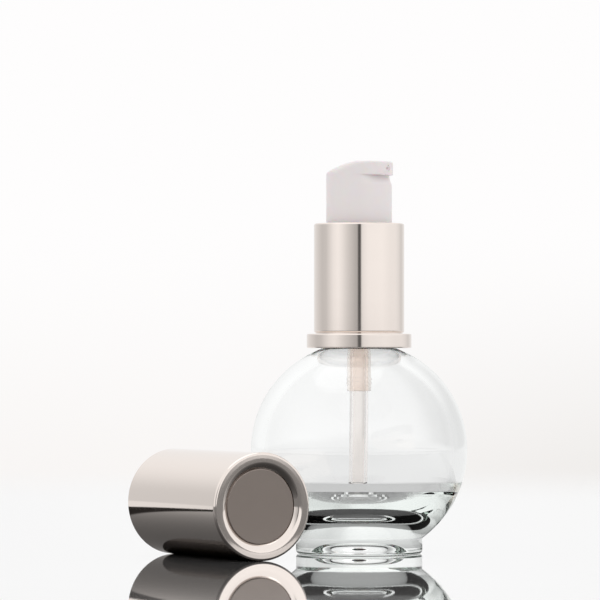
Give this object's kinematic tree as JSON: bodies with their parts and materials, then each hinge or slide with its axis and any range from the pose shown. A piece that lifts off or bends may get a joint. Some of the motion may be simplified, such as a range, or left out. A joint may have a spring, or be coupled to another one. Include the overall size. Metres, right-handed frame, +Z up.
{
  "type": "foundation bottle",
  "caption": "Clear glass sphere bottle on a short round foot, with a press pump in a bright metal collar and a metal overcap lying beside it.",
  "frame": {"origin": "centre of the foot's flat underside, on the bottle's axis", "axes": "+Z up along the bottle's axis; the loose overcap lies on the -X side with its closed end towards -Y; the nozzle points between -Y and +X"},
  "size_m": [0.0732, 0.049, 0.0887],
  "materials": {
    "clear_glass": "clear moulded flint glass, fire-polished",
    "seal_foam": "closed-cell foam, matt",
    "housing_plastic": "natural translucent polypropylene, warm tint",
    "white_plastic": "moulded white polypropylene, satin",
    "actuator_plastic": "moulded white polypropylene, soft gloss",
    "tube_plastic": "extruded natural polyethylene, translucent",
    "spring_steel": "bright stainless steel",
    "bright_metal": "bright anodised, pale champagne",
    "satin_metal": "satin anodised, matt"
  },
  "bodies": {
    "bottle": {"glass_bottle": "clear_glass"},
    "pump_unit": {"neck_gasket": "seal_foam", "pump_housing": "housing_plastic", "stem_guide": "white_plastic", "dip_tube": "tube_plastic", "return_spring": "spring_steel"},
    "closure": {"screw_closure": "white_plastic", "collar_shell": "bright_metal"},
    "piston": {"piston": "white_plastic"},
    "head": {"actuator": "actuator_plastic", "stem": "white_plastic", "valve_plug": "white_plastic"},
    "inlet_valve": {"inlet_ball": "spring_steel"},
    "overcap": {"overcap_shell": "bright_metal", "overcap_liner": "white_plastic", "overcap_disc": "satin_metal"}
  },
  "joints": [
    {"name": "pump_rise", "type": "slide", "parent": "bottle", "child": "pump_unit", "axis": [0, 0, 1], "range_m": [0, 0.0047]},
    {"name": "closure_turn", "type": "hinge", "parent": "pump_unit", "child": "closure", "pos_m": [0, 0, 0.055], "axis": [0, 0, 1], "range_deg": [0, 533]},
    {"name": "pump_stroke", "type": "slide", "parent": "pump_unit", "child": "piston", "axis": [0, 0, -1], "range_m": [0, 0.0035], "stiffness_N_per_m": 900, "springref_m": -0.004, "deforming": ["return_spring"]},
    {"name": "actuator_spin", "type": "hinge", "parent": "piston", "child": "head", "pos_m": [0, 0, 0.075], "axis": [0, 0, 1], "continuous": true},
    {"name": "inlet_lift", "type": "slide", "parent": "pump_unit", "child": "inlet_valve", "axis": [0, 0, 1], "range_m": [0, 0.00065]},
    {"name": "cap_lift", "type": "slide", "parent": "bottle", "child": "overcap", "axis": [0, 0, 1], "range_m": [0, 0.08]}
  ],
  "couplings": [
    {"joint": "closure_turn", "follows": "pump_rise", "rad_per_m": 1979}
  ]
}
